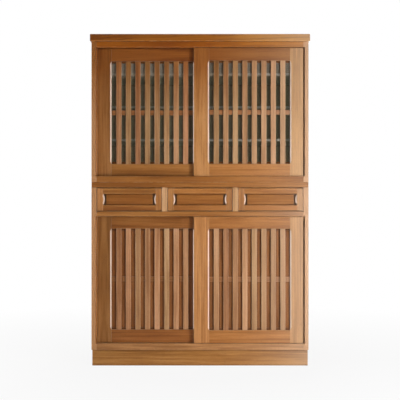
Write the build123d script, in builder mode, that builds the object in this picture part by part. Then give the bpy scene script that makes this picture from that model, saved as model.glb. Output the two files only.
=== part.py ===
"""Mizuya kitchen cabinet: two stacked wooden cases with latticed sliding doors and three drawers.

Millimetres. X runs to the right, the front faces -Y, +Z is up, and the origin lies on the floor
under the middle of the top board. Spans are written as (low, high) pairs along one axis.
"""
import math
import os

from build123d import *

os.makedirs("parts", exist_ok=True)

# ---------------------------------------------------------------- driving sizes
# top board, which also sets how wide and deep the whole cabinet is
top_width = 1200
top_depth = 450
top_thickness = 40
top_overhang_side = 8
top_overhang_front = 8
top_easing = 3

# heights of the stack, from the floor up
plinth_height = 87
lower_sill_height = 34
lower_door_height = 695
lower_head_height = 27
drawer_row_height = 130
lower_top_thickness = 29
upper_sill_height = 33
upper_door_height = 704
upper_head_height = 31

# case boards
side_thickness = 28
floor_thickness = 20
deck_thickness = 18
shelf_thickness = 16
housing_depth = 6
edge_easing = 1

# back panels of thin plywood, let into the rear edges of the sides
back_thickness = 6
back_inset = 2
back_rabbet_width = 12
back_clearance = 0.3

# plinth
plinth_board = 20
plinth_side_inset = 3
plinth_front_setback = 10
plinth_back_setback = 10

# grooved rails that carry the sliding doors
rail_back_margin = 8
head_groove_depth = 16
sill_groove_depth = 4
tongue_thickness = 12
tongue_clearance = 0.5
tongue_reach = 11
running_gap = 0.3

# sliding doors
door_thickness = 24
door_setback = 7
door_passing_gap = 4
rear_door_left_stile = 77
front_door_left_stile = 83
door_right_stile = 71
door_top_gap = 2
door_bottom_gap = 1
door_centre_overlap = 65.5
rear_door_edge_gap = 0.5
front_door_edge_gap = 1
receiving_rabbet = 7.5
receiving_clearance = 2
stile_chamfer = 7
chamfer_runout = 14
cutter_overrun = 2
rail_chamfer = 1.5

# heights of the door rails that stay in sight
upper_door_top_rail = 72
upper_door_bottom_rail = 68
lower_door_top_rail = 68
lower_door_bottom_rail = 72

# joints of the door frames
frame_tenon_thickness = 8
frame_tenon_length = 25
frame_tenon_shoulder = 14
joint_clearance = 0.1
mortise_end_room = 0.5

# lattice: upright slats in front of one cross bar, a pane behind
slat_width = 28.5
slat_gap = 23.4
slat_end_room = 1.5
slat_thickness = 7
slat_setback = 3
slat_chamfer = 1.2
slat_tenon_width = 20
slat_tenon_thickness = 4
slat_tenon_length = 8
cross_bar_height = 27
cross_bar_thickness = 5
cross_bar_tenon = 8
rail_lip_height = 11
glass_thickness = 3
wood_pane_thickness = 5
pane_groove_depth = 8
pane_edge_room = 0.5
pane_clearance = 0.2

# drawers
drawer_words = ("left", "middle", "right")
post_width = 28
post_depth = 27
partition_thickness = 18
guide_height = 20
guide_clearance = 0.3
drawer_setback = 3
drawer_front_thickness = 20
drawer_side_gap = 1
drawer_height_gap = 4.25
drawer_rail_height = 29
drawer_stile_width = 33
drawer_panel_thickness = 8
drawer_panel_back_margin = 2
drawer_panel_groove = 6
drawer_panel_tongue = 3
drawer_panel_margin = 4.5
drawer_tenon_length = 12
drawer_tenon_height = 15
drawer_tenon_thickness = 8
drawer_front_chamfer = 1.2
finger_well_width = 18
pull_bulge = 10
pull_thickness = 8
pull_chamfer = 7.5
pull_root_depth = 3
box_board = 12
box_inset = 0.5
box_top_room = 26
box_back_room = 25
box_floor_thickness = 5
box_floor_lift = 8
box_floor_groove = 5

# shelves, shelf pins and the dowels between the two cases
shelf_front_setback = 10
shelf_back_gap = 2
shelf_side_gap = 1
upper_shelf_rises = (194, 376, 558)
lower_shelf_rises = (334,)
pin_radius = 3.5
pin_length = 20
pin_depth = 10
pin_clearance = 0.1
pin_inset = 50
dowel_radius = 5
dowel_length = 36
dowel_inset = 60
dowel_clearance = 0.1

# ---------------------------------------------------------------- levels and planes worked out
half_case = top_width / 2 - top_overhang_side
half_inner = half_case - side_thickness
front = -top_depth / 2 + top_overhang_front
back = top_depth / 2

lower_sill_top = plinth_height + lower_sill_height
lower_head_bottom = lower_sill_top + lower_door_height
deck_top = lower_head_bottom + lower_head_height
drawer_row_top = deck_top + drawer_row_height
joint_level = drawer_row_top + lower_top_thickness
upper_sill_top = joint_level + upper_sill_height
upper_head_bottom = upper_sill_top + upper_door_height
upper_case_top = upper_head_bottom + upper_head_height
total_height = upper_case_top + top_thickness

front_door_face = front + door_setback
rear_door_face = front_door_face + door_thickness + door_passing_gap
rail_back = rear_door_face + door_thickness + rail_back_margin
back_panel_y = (back - back_inset - back_thickness, back - back_inset)
inside_back = back_panel_y[0] - back_clearance

door_edge_gaps = rear_door_edge_gap + front_door_edge_gap
door_width = (2 * half_inner - door_edge_gaps + door_centre_overlap) / 2
rear_door_left = -half_inner + rear_door_edge_gap
front_door_left = rear_door_left + door_width - door_centre_overlap

drawer_count = len(drawer_words)
bay_width = (2 * half_inner - (drawer_count - 1) * post_width) / drawer_count
bay_pitch = bay_width + post_width
bay_centres = [(i - (drawer_count - 1) / 2) * bay_pitch for i in range(drawer_count)]
post_centres = [(a + b) / 2 for a, b in zip(bay_centres, bay_centres[1:])]


# ---------------------------------------------------------------- small helpers
def size(span):
    """Length of a (low, high) span."""
    return span[1] - span[0]


def middle(span):
    """Centre of a (low, high) span."""
    return (span[0] + span[1]) / 2


def wider(span, more):
    """The same span, longer by `more` at both ends."""
    return (span[0] - more, span[1] + more)


def block(x, y, z, mode=Mode.ADD):
    """Rectangular block between three spans, in the part that is being built."""
    with Locations((middle(x), middle(y), middle(z))):
        Box(size(x), size(y), size(z), mode=mode)


def rectangle(u, v, mode=Mode.ADD):
    """Rectangle between two spans, in the sketch that is being drawn."""
    with Locations((middle(u), middle(v))):
        Rectangle(size(u), size(v), mode=mode)


def save(part, name):
    """Labels a finished piece and writes its STEP file."""
    part.label = name
    export_step(part, f"parts/{name}.step")


def board(name, x, y, z, easing=edge_easing):
    """Plain sawn board with its arrises taken off."""
    with BuildPart() as plank:
        with BuildSketch(Plane.XY.offset(z[0])):
            rectangle(x, y)
        extrude(amount=size(z))
        if easing:
            chamfer(plank.edges(), length=easing)
    save(plank.part, name)


def pair_of_boards(name, xs, y, z):
    """Equal boards at several places along X, as separate solids of one node."""
    with BuildPart() as planks:
        with BuildSketch(Plane.XY.offset(z[0])):
            for x in xs:
                rectangle(x, y)
        extrude(amount=size(z))
    save(planks.part, name)


# ---------------------------------------------------------------- plinth
plinth_half = half_case - plinth_side_inset
plinth_front_y = (front + plinth_front_setback, front + plinth_front_setback + plinth_board)
plinth_back_y = (back - plinth_back_setback - plinth_board, back - plinth_back_setback)
plinth_z = (0, plinth_height)
board("plinth_front", (-plinth_half, plinth_half), plinth_front_y, plinth_z)
board("plinth_back", (-plinth_half, plinth_half), plinth_back_y, plinth_z)
pair_of_boards(
    "plinth_ends",
    [(-plinth_half, -plinth_half + plinth_board), (plinth_half - plinth_board, plinth_half)],
    (plinth_front_y[1], plinth_back_y[0]),
    plinth_z,
)


# ---------------------------------------------------------------- shelves: where they lie
shelf_y = (rail_back + shelf_front_setback, inside_back - shelf_back_gap)
pin_ys = (shelf_y[0] + pin_inset, shelf_y[1] - pin_inset)
upper_shelf_bottoms = [upper_sill_top + rise for rise in upper_shelf_rises]
lower_shelf_bottoms = [lower_sill_top + rise for rise in lower_shelf_rises]
dowel_x = half_case - side_thickness / 2
dowel_ys = (front + dowel_inset, back - dowel_inset)
dowel_z = (joint_level - dowel_length / 2, joint_level + dowel_length / 2)
front_groove_y = wider(
    (front_door_face + (door_thickness - tongue_thickness) / 2,
     front_door_face + (door_thickness + tongue_thickness) / 2),
    tongue_clearance,
)
rear_groove_y = tuple(y + door_thickness + door_passing_gap for y in front_groove_y)


# ---------------------------------------------------------------- case sides
def side_panel(name, side, z, sill_top, head_bottom, shelf_bottoms, housed_boards, on_dowels):
    """Upright side board. `side` is -1 on the left and +1 on the right.

    The front edge has a rabbet as deep as the front door, which receives that door's stile, and
    the rear edge has one for the back panel. The front door's track runs on into the board.
    The floor and the deck are housed in grooves across it, and each shelf pin has its hole.
    """
    inner = side * half_inner
    rabbet_y = (front, front_door_face + door_thickness + receiving_clearance)
    rabbet_z = (sill_top, head_bottom)
    track_z = (sill_top - sill_groove_depth, head_bottom + head_groove_depth)
    rear_y = (back_panel_y[0] - back_clearance, back)
    with BuildPart() as panel:
        with BuildSketch(Plane.YZ.offset(inner)):
            rectangle((front, back), z)
        extrude(amount=side * side_thickness)
        with BuildSketch(Plane.YZ.offset(inner)):
            rectangle(rabbet_y, rabbet_z)
            rectangle(front_groove_y, track_z)
        extrude(amount=side * receiving_rabbet, mode=Mode.SUBTRACT)
        with BuildSketch(Plane.YZ.offset(inner)):
            rectangle(rear_y, z)
        extrude(amount=side * back_rabbet_width, mode=Mode.SUBTRACT)
        with BuildSketch(Plane.YZ.offset(inner)):
            for housed_z in housed_boards:
                rectangle(behind_rail_y, wider(housed_z, joint_clearance))
        extrude(amount=side * (housing_depth + mortise_end_room), mode=Mode.SUBTRACT)
        with BuildSketch(Plane.YZ.offset(inner)):
            with Locations(*[(y, bottom - pin_radius) for bottom in shelf_bottoms for y in pin_ys]):
                Circle(pin_radius + pin_clearance)
        extrude(amount=side * pin_depth, mode=Mode.SUBTRACT)
        if on_dowels:
            with BuildSketch(Plane.XY.offset(joint_level)):
                with Locations(*[(side * dowel_x, y) for y in dowel_ys]):
                    Circle(dowel_radius + dowel_clearance)
            extrude(amount=dowel_z[1] - joint_level + mortise_end_room, mode=Mode.SUBTRACT)
    save(panel.part, name)


behind_rail_y = (rail_back, inside_back)
lower_floor_z = (lower_sill_top - floor_thickness, lower_sill_top)
upper_floor_z = (upper_sill_top - floor_thickness, upper_sill_top)
deck_z = (deck_top - deck_thickness, deck_top)
lower_side_z = (plinth_height, drawer_row_top)
upper_side_z = (joint_level, upper_case_top)
for word, side in (("left", -1), ("right", 1)):
    side_panel(f"lower_side_{word}", side, lower_side_z, lower_sill_top, lower_head_bottom,
               lower_shelf_bottoms, housed_boards=(lower_floor_z, deck_z), on_dowels=False)
    side_panel(f"upper_side_{word}", side, upper_side_z, upper_sill_top, upper_head_bottom,
               upper_shelf_bottoms, housed_boards=(upper_floor_z,), on_dowels=True)


# ---------------------------------------------------------------- grooved rails of the doors
def track_rail(name, z, groove_depth, grooves_on_top):
    """Rail between the sides, with one groove for each of the two doors that pass each other."""
    groove_z = (z[1] - groove_depth, z[1]) if grooves_on_top else (z[0], z[0] + groove_depth)
    with BuildPart() as rail:
        with BuildSketch(Plane.YZ.offset(-half_inner)) as profile:
            rectangle((front, rail_back), z)
            rectangle(front_groove_y, groove_z, mode=Mode.SUBTRACT)
            rectangle(rear_groove_y, groove_z, mode=Mode.SUBTRACT)
            chamfer(profile.vertices().group_by(Axis.X)[0], length=edge_easing)
        extrude(amount=2 * half_inner)
    save(rail.part, name)


track_rail("lower_sill_rail", (plinth_height, lower_sill_top), sill_groove_depth, True)
track_rail("lower_head_rail", (lower_head_bottom, deck_top), head_groove_depth, False)
track_rail("upper_sill_rail", (joint_level, upper_sill_top), sill_groove_depth, True)
track_rail("upper_head_rail", (upper_head_bottom, upper_case_top), head_groove_depth, False)


# ---------------------------------------------------------------- boards of the two cases
inner_x = (-half_inner, half_inner)
housed_x = wider(inner_x, housing_depth)
board("lower_floor_board", housed_x, behind_rail_y, lower_floor_z, easing=0)
board("upper_floor_board", housed_x, behind_rail_y, upper_floor_z, easing=0)
board("drawer_deck", housed_x, behind_rail_y, deck_z, easing=0)
board("top_board", (-top_width / 2, top_width / 2), (-top_depth / 2, back),
      (upper_case_top, total_height), easing=top_easing)

back_x = wider(inner_x, back_rabbet_width - back_clearance)
board("lower_back_panel", back_x, back_panel_y, lower_side_z, easing=0)
board("upper_back_panel", back_x, back_panel_y, upper_side_z, easing=0)

with BuildPart() as lower_top:
    with BuildSketch(Plane.XY.offset(drawer_row_top)):
        rectangle((-half_case, half_case), (front, back))
    extrude(amount=lower_top_thickness)
    chamfer(lower_top.edges(), length=edge_easing)
    with BuildSketch(Plane.XY.offset(joint_level)):
        with Locations(*[(x, y) for x in (-dowel_x, dowel_x) for y in dowel_ys]):
            Circle(dowel_radius + dowel_clearance)
    extrude(amount=dowel_z[0] - joint_level - mortise_end_room, mode=Mode.SUBTRACT)
save(lower_top.part, "lower_top_board")

with BuildPart() as dowels:
    with BuildSketch(Plane.XY.offset(dowel_z[0])):
        with Locations(*[(x, y) for x in (-dowel_x, dowel_x) for y in dowel_ys]):
            Circle(dowel_radius)
    extrude(amount=dowel_length)
save(dowels.part, "stacking_dowels")


# ---------------------------------------------------------------- shelves and their pins
shelf_x = wider(inner_x, -shelf_side_gap)
shelf_names = ("upper_shelf_low", "upper_shelf_middle", "upper_shelf_high", "lower_shelf")
for name, shelf_bottom in zip(shelf_names, upper_shelf_bottoms + lower_shelf_bottoms):
    board(name, shelf_x, shelf_y, (shelf_bottom, shelf_bottom + shelf_thickness))

with BuildPart() as pins:
    for side in (-1, 1):
        with BuildSketch(Plane.YZ.offset(side * (half_inner + pin_depth - pin_clearance))):
            for shelf_bottom in upper_shelf_bottoms + lower_shelf_bottoms:
                with Locations(*[(pin_y, shelf_bottom - pin_radius) for pin_y in pin_ys]):
                    Circle(pin_radius)
        extrude(amount=-side * pin_length)
save(pins.part, "shelf_pins")


# ---------------------------------------------------------------- drawer row: posts and partitions
drawer_row_z = (deck_top, drawer_row_top)
post_y = (front, front + post_depth)
partition_y = (post_y[1], inside_back)
pair_of_boards("drawer_posts",
               [(c - post_width / 2, c + post_width / 2) for c in post_centres],
               post_y, drawer_row_z)
pair_of_boards("drawer_partitions",
               [(c - partition_thickness / 2, c + partition_thickness / 2) for c in post_centres],
               partition_y, drawer_row_z)
guide_spans = []
for c in post_centres:
    guide_spans.append((c - post_width / 2 + guide_clearance, c - partition_thickness / 2))
    guide_spans.append((c + partition_thickness / 2, c + post_width / 2 - guide_clearance))
pair_of_boards("drawer_guides", guide_spans, partition_y, (deck_top, deck_top + guide_height))


# ---------------------------------------------------------------- sliding doors
def stopped_chamfer(corner_x, face_y, z, toward_opening):
    """Cuts a chamfer off an upright front arris, run out to nothing at both ends.

    The cutter is a trapezium drawn in the upright plane that halves the corner, and extruded
    both ways along the width of the chamfer.
    """
    outward = Vector(toward_opening, -1, 0).normalized()
    across = outward.rotate(Axis.Z, -90)
    corner_plane = Plane(origin=(corner_x, face_y, 0), x_dir=outward, z_dir=across)
    depth = stile_chamfer / math.sqrt(2)
    overrun = chamfer_runout * cutter_overrun / depth
    with BuildSketch(corner_plane) as notch:
        with BuildLine():
            Polyline(
                (-depth, z[0] + chamfer_runout),
                (-depth, z[1] - chamfer_runout),
                (cutter_overrun, z[1] + overrun),
                (cutter_overrun, z[0] - overrun),
                close=True,
            )
        make_face()
    extrude(notch.sketch, amount=stile_chamfer, both=True, mode=Mode.SUBTRACT)


def sliding_door(name, left, left_stile, face, sill_top, head_bottom, top_rail, bottom_rail,
                 pane_thickness):
    """One latticed door: stiles, rails, slats, cross bar and pane, each as a node of its own."""
    right = left + door_width
    opening_x = (left + left_stile, right - door_right_stile)
    opening_z = (sill_top + bottom_rail, head_bottom - top_rail)
    stile_xs = [(left, opening_x[0]), (opening_x[1], right)]
    body_y = (face, face + door_thickness)
    body_z = (sill_top + door_bottom_gap, head_bottom - door_top_gap)
    tongue_y = wider((middle(body_y), middle(body_y)), tongue_thickness / 2)
    tongue_z = (sill_top - sill_groove_depth + running_gap, head_bottom + tongue_reach)
    tenon_y = wider((middle(body_y), middle(body_y)), frame_tenon_thickness / 2)
    tenon_zs = [
        (body_z[0] + frame_tenon_shoulder, opening_z[0] - frame_tenon_shoulder),
        (opening_z[1] + frame_tenon_shoulder, body_z[1] - frame_tenon_shoulder),
    ]
    slat_y = (face + slat_setback, face + slat_setback + slat_thickness)
    slat_tenon_y = wider((middle(slat_y), middle(slat_y)), slat_tenon_thickness / 2)
    bar_y = (slat_y[1], slat_y[1] + cross_bar_thickness)
    bar_z = wider((middle(opening_z), middle(opening_z)), cross_bar_height / 2)
    bar_x = wider(opening_x, cross_bar_tenon)
    slat_count = int((size(opening_x) - slat_gap) // (slat_width + slat_gap))
    open_width = size(opening_x) - slat_count * slat_width - 2 * slat_end_room
    slat_pitch = slat_width + open_width / (slat_count + 1)
    pane_y = (bar_y[1], bar_y[1] + pane_thickness)
    groove_y = wider(pane_y, pane_clearance)
    groove_x = wider(opening_x, pane_groove_depth)
    groove_z = wider(opening_z, pane_groove_depth)

    with BuildPart() as stiles:
        with BuildSketch(Plane.XY.offset(body_z[0])):
            for x in stile_xs:
                rectangle(x, body_y)
        extrude(amount=size(body_z))
        with BuildSketch(Plane.XY.offset(tongue_z[0])):
            for x in stile_xs:
                rectangle(x, tongue_y)
        extrude(amount=size(tongue_z))
        block(groove_x, groove_y, groove_z, mode=Mode.SUBTRACT)
        block(wider(bar_x, mortise_end_room), wider(bar_y, joint_clearance),
              wider(bar_z, joint_clearance), mode=Mode.SUBTRACT)
        for tenon_z in tenon_zs:
            block(wider(opening_x, frame_tenon_length + mortise_end_room),
                  wider(tenon_y, joint_clearance), wider(tenon_z, joint_clearance),
                  mode=Mode.SUBTRACT)
        stopped_chamfer(opening_x[0], face, opening_z, 1)
        stopped_chamfer(opening_x[1], face, opening_z, -1)
    save(stiles.part, f"{name}_stiles")

    with BuildPart() as rails:
        with BuildSketch(Plane.YZ.offset(opening_x[0])) as profiles:
            rectangle(body_y, (body_z[0], opening_z[0]))
            rectangle(body_y, (opening_z[1], body_z[1]))
            rectangle(tongue_y, (tongue_z[0], body_z[0]))
            rectangle(tongue_y, (body_z[1], tongue_z[1]))
            rectangle(bar_y, (opening_z[0], opening_z[0] + rail_lip_height))
            rectangle(bar_y, (opening_z[1] - rail_lip_height, opening_z[1]))
            rectangle(groove_y, groove_z, mode=Mode.SUBTRACT)
            face_corners = profiles.vertices().group_by(Axis.X)[0].sort_by(Axis.Y)
            chamfer(face_corners[1:-1], length=rail_chamfer)
        extrude(amount=size(opening_x))
        with BuildSketch(Plane.YZ.offset(opening_x[0] - frame_tenon_length)):
            for tenon_z in tenon_zs:
                rectangle(tenon_y, tenon_z)
        extrude(amount=size(opening_x) + 2 * frame_tenon_length)
        for edge_z, direction in zip(opening_z, (-1, 1)):
            with BuildSketch(Plane.XY.offset(edge_z)):
                with Locations((middle(opening_x), middle(slat_y))):
                    with GridLocations(slat_pitch, 1, slat_count, 1):
                        Rectangle(slat_tenon_width + 2 * joint_clearance,
                                  slat_tenon_thickness + 2 * joint_clearance)
            extrude(amount=direction * (slat_tenon_length + mortise_end_room), mode=Mode.SUBTRACT)
    save(rails.part, f"{name}_rails")

    with BuildPart() as slats:
        with BuildSketch(Plane.XY.offset(opening_z[0])) as slat_plan:
            with Locations((middle(opening_x), middle(slat_y))):
                with GridLocations(slat_pitch, 1, slat_count, 1):
                    Rectangle(slat_width, slat_thickness)
            chamfer(slat_plan.vertices().group_by(Axis.Y)[0], length=slat_chamfer)
        extrude(amount=size(opening_z))
        with BuildSketch(Plane.XY.offset(opening_z[0] - slat_tenon_length)):
            with Locations((middle(opening_x), middle(slat_tenon_y))):
                with GridLocations(slat_pitch, 1, slat_count, 1):
                    Rectangle(slat_tenon_width, slat_tenon_thickness)
        extrude(amount=size(opening_z) + 2 * slat_tenon_length)
    save(slats.part, f"{name}_slats")

    board(f"{name}_cross_bar", bar_x, bar_y, bar_z, easing=0)
    board(f"{name}_pane", wider(groove_x, -pane_edge_room), pane_y,
          wider(groove_z, -pane_edge_room), easing=0)


for word, left, left_stile, face in (
        ("left", rear_door_left, rear_door_left_stile, rear_door_face),
        ("right", front_door_left, front_door_left_stile, front_door_face)):
    sliding_door(f"upper_{word}_door", left, left_stile, face, upper_sill_top, upper_head_bottom,
                 upper_door_top_rail, upper_door_bottom_rail, glass_thickness)
    sliding_door(f"lower_{word}_door", left, left_stile, face, lower_sill_top, lower_head_bottom,
                 lower_door_top_rail, lower_door_bottom_rail, wood_pane_thickness)


# ---------------------------------------------------------------- drawers
def finger_pull(stile_edge, face_y, z, toward_middle):
    """Adds the lip that bulges from a drawer stile over the finger well beside it.

    The lip is a slice of a disc that stands in the front, with a wide chamfer round its rim. Its
    section is turned about the disc's centre, which lies in the stile, through the angle that the
    finger well's height spans.
    """
    half_height = size(z) / 2
    radius = (half_height ** 2 + pull_bulge ** 2) / (2 * pull_bulge)
    root = radius - pull_bulge - pull_root_depth
    half_angle = math.asin(half_height / radius)
    disc_centre = (stile_edge + toward_middle * (pull_bulge - radius), face_y, middle(z))
    start = Plane(origin=disc_centre,
                  x_dir=(toward_middle * math.cos(half_angle), 0, -math.sin(half_angle)),
                  z_dir=(math.sin(half_angle), 0, toward_middle * math.cos(half_angle)))
    with BuildSketch(start) as section:
        rectangle((root, radius), (0, pull_thickness))
        rim = section.vertices().sort_by_distance(Vertex(radius, 0))[0]
        chamfer(rim, length=pull_chamfer)
    revolve(section.sketch, axis=Axis(disc_centre, (0, -toward_middle, 0)),
            revolution_arc=2 * math.degrees(half_angle))


def drawer(name, centre):
    """One drawer: framed front with a sunk panel and finger pulls, on an open-topped box."""
    half_front = bay_width / 2 - drawer_side_gap
    front_x = wider((centre, centre), half_front)
    front_z = wider(drawer_row_z, -drawer_height_gap)
    face = front + drawer_setback
    frame_y = (face, face + drawer_front_thickness)
    between_x = wider(front_x, -drawer_stile_width)
    recess_z = wider(front_z, -drawer_rail_height)
    stile_xs = [(front_x[0], between_x[0]), (between_x[1], front_x[1])]
    rail_zs = [(front_z[0], recess_z[0]), (recess_z[1], front_z[1])]
    tenon_y = wider((middle(frame_y), middle(frame_y)), drawer_tenon_thickness / 2)
    tenon_zs = [wider((middle(z), middle(z)), drawer_tenon_height / 2) for z in rail_zs]
    panel_back = frame_y[1] - drawer_panel_back_margin
    panel_y = (panel_back - drawer_panel_thickness, panel_back)
    panel_tongue_y = (panel_back - drawer_panel_tongue, panel_back)
    panel_x = wider(between_x, -finger_well_width)
    panel_z = wider(recess_z, drawer_panel_groove - pane_edge_room)

    with BuildPart() as stiles:
        with BuildSketch(Plane.XY.offset(front_z[0])) as plan:
            for x in stile_xs:
                rectangle(x, frame_y)
            face_corners = plan.vertices().group_by(Axis.Y)[0].sort_by(Axis.X)
            chamfer([face_corners[0], face_corners[-1]], length=drawer_front_chamfer)
        extrude(amount=size(front_z))
        for tenon_z in tenon_zs:
            block(wider(between_x, drawer_tenon_length + mortise_end_room),
                  wider(tenon_y, joint_clearance), wider(tenon_z, joint_clearance),
                  mode=Mode.SUBTRACT)
        finger_pull(between_x[0], face, recess_z, 1)
        finger_pull(between_x[1], face, recess_z, -1)
    save(stiles.part, f"{name}_front_stiles")

    with BuildPart() as rails:
        with BuildSketch(Plane.YZ.offset(between_x[0])):
            for rail_z in rail_zs:
                rectangle(frame_y, rail_z)
            rectangle(wider(panel_tongue_y, pane_clearance),
                      wider(recess_z, drawer_panel_groove), mode=Mode.SUBTRACT)
        extrude(amount=size(between_x))
        with BuildSketch(Plane.YZ.offset(between_x[0] - drawer_tenon_length)):
            for tenon_z in tenon_zs:
                rectangle(tenon_y, tenon_z)
        extrude(amount=size(between_x) + 2 * drawer_tenon_length)
    save(rails.part, f"{name}_front_rails")

    with BuildPart() as panel:
        with BuildSketch(Plane.YZ.offset(panel_x[0])):
            rectangle(panel_y, wider(recess_z, -drawer_panel_margin))
            rectangle(panel_tongue_y, panel_z)
        extrude(amount=size(panel_x))
    save(panel.part, f"{name}_front_panel")

    box_x = wider(front_x, -box_inset)
    box_y = (frame_y[1], inside_back - box_back_room)
    box_z = (deck_top + running_gap, drawer_row_top - box_top_room)
    inside_x = wider(box_x, -box_board)
    inside_y = wider(box_y, -box_board)
    floor_z = (box_z[0] + box_floor_lift, box_z[0] + box_floor_lift + box_floor_thickness)
    floor_x = wider(inside_x, box_floor_groove)
    floor_y = wider(inside_y, box_floor_groove)
    groove = (wider(floor_x, mortise_end_room), wider(floor_y, mortise_end_room),
              wider(floor_z, joint_clearance))
    with BuildPart() as box_sides:
        block((box_x[0], inside_x[0]), box_y, box_z)
        block((inside_x[1], box_x[1]), box_y, box_z)
        block(*groove, mode=Mode.SUBTRACT)
    with BuildPart() as box_ends:
        block(inside_x, (box_y[0], inside_y[0]), box_z)
        block(inside_x, (inside_y[1], box_y[1]), box_z)
        block(*groove, mode=Mode.SUBTRACT)
    with BuildPart() as box_floor:
        block(floor_x, floor_y, floor_z)
    boards = box_sides.part.solids() + box_ends.part.solids() + box_floor.part.solids()
    save(Compound(children=boards), f"{name}_box")


for word, centre in zip(drawer_words, bay_centres):
    drawer(f"{word}_drawer", centre)
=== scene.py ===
# %% [markdown]
# # A mizuya: dressing a Japanese kitchen cupboard in lacquered wood
#
# A mizuya is the tall cupboard of a Japanese kitchen. One case stands on the other, and each has
# two sliding doors whose upright slats stand in front of a pane. Three drawers lie between them.
# The solids of every board arrive from the CAD model at their real size, in metres, and stay where
# they are. What is left for Blender is what a finisher does: choose the wood, lay its grain the
# way each board was sawn, ease the arrises, stain and lacquer it, and put it under a good light.

# %% Load the frame of solids
import math

import bmesh
import bpy
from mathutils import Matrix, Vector


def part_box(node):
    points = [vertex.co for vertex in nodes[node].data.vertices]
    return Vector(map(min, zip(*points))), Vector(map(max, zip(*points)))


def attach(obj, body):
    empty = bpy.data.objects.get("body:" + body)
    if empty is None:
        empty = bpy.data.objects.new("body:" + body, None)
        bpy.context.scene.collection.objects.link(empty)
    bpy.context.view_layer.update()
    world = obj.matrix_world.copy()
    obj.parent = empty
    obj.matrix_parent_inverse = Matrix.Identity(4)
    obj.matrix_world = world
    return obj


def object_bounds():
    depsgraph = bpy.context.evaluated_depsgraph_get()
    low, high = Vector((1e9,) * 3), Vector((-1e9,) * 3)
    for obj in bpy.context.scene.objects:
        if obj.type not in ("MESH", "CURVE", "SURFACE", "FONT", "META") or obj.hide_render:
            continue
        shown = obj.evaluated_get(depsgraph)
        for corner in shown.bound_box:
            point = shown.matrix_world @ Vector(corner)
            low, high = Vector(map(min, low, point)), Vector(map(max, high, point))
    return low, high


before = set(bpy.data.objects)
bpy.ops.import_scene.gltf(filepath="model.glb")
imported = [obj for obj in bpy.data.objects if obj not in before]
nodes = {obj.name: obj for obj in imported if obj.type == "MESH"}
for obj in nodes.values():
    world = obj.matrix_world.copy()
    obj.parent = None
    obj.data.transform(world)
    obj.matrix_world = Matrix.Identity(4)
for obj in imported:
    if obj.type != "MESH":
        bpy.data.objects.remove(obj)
cad_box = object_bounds()
low, high = cad_box
scene = bpy.context.scene
scene.view_settings.view_transform = "Standard"
mm = 1000  # millimetres in a metre, for what is printed
print(f"{len(nodes)} nodes in a box of {[round(b - a, 3) for a, b in zip(low, high)]} m")

# %% [markdown]
# ## The camera
#
# A cupboard is best judged square on, from a few metres away and at half its height, so that
# neither the top nor the plinth leans. The lens follows from two plain measures: how far away the
# camera stands, and how much of the room its frame covers at the cupboard's face. Working it out
# this way is safer than turning a lens by eye, because it can be checked with a tape measure.

# %% Place the camera
camera_distance = 4.6  # metres from the cupboard's face
height_in_frame = 2.178  # metres of the face from the bottom of the frame to its top
eye_height = 0.905
sensor_width = 36  # millimetres

camera_data = bpy.data.cameras.new("camera")
camera_data.sensor_width = sensor_width
camera_data.lens = sensor_width * camera_distance / height_in_frame
camera = bpy.data.objects.new("camera", camera_data)
camera.location = (0, low[1] - camera_distance, eye_height)
camera.rotation_euler = (math.radians(90), 0, 0)
scene.collection.objects.link(camera)
scene.camera = camera
print(f"camera {camera_distance} m away, with a lens of {camera_data.lens:.1f} mm")

# %% [markdown]
# ## Shader maths in plain Python
#
# A material is a graph of nodes, and a long graph joined by hand hides its idea. `Wire` holds one
# socket and knows `+ - * **`, so that `1 - wire * 0.5` reads as maths and adds its Math nodes by
# itself. The reflected methods, such as `__rsub__`, are what lets the number stand first.

# %% Wire: one socket
class Wire:
    """The output of a node, for sums that are written as Python."""

    def __init__(self, graph, socket):
        self.graph = graph
        self.socket = socket

    def maths(self, operation, first, second):
        return self.graph.add("ShaderNodeMath", {"operation": operation}, {0: first, 1: second})

    def __add__(self, other):
        return self.maths("ADD", self, other)

    def __radd__(self, other):
        return self.maths("ADD", other, self)

    def __sub__(self, other):
        return self.maths("SUBTRACT", self, other)

    def __rsub__(self, other):
        return self.maths("SUBTRACT", other, self)

    def __mul__(self, other):
        return self.maths("MULTIPLY", self, other)

    def __rmul__(self, other):
        return self.maths("MULTIPLY", other, self)

    def __pow__(self, other):
        return self.maths("POWER", self, other)

    def __rpow__(self, other):
        return self.maths("POWER", other, self)


print("Wire knows + - * **")

# %% [markdown]
# Blender finds a socket by its number or its name. A name alone can mislead: the Mix node has
# three sockets called A, one for numbers, one for vectors and one for colours, and only the one in
# use is switched on. So the search by name looks for that one.

# %% Find a socket
def pick(sockets, key):
    """A socket by its number, or by its name among those in use."""
    if isinstance(key, int):
        return sockets[key]
    return next(socket for socket in sockets if socket.name == key and socket.enabled)


def set_stops(ramp, stops):
    """Gives a colour ramp its stops, as (position, colour)."""
    while len(ramp.elements) < len(stops):
        ramp.elements.new(1.0)
    for element, (position, colour) in zip(ramp.elements, stops):
        element.position = position
        element.color = (*colour, 1.0)


print("sockets are found by number or name")

# %% [markdown]
# `Graph` fills one node tree. Its `add` makes any node from its type, its settings and the values
# or wires of its sockets. The settings go first, because they decide which sockets there are.
# Colours never go through a Math node, which would turn them grey: they have `mix`.

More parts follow.
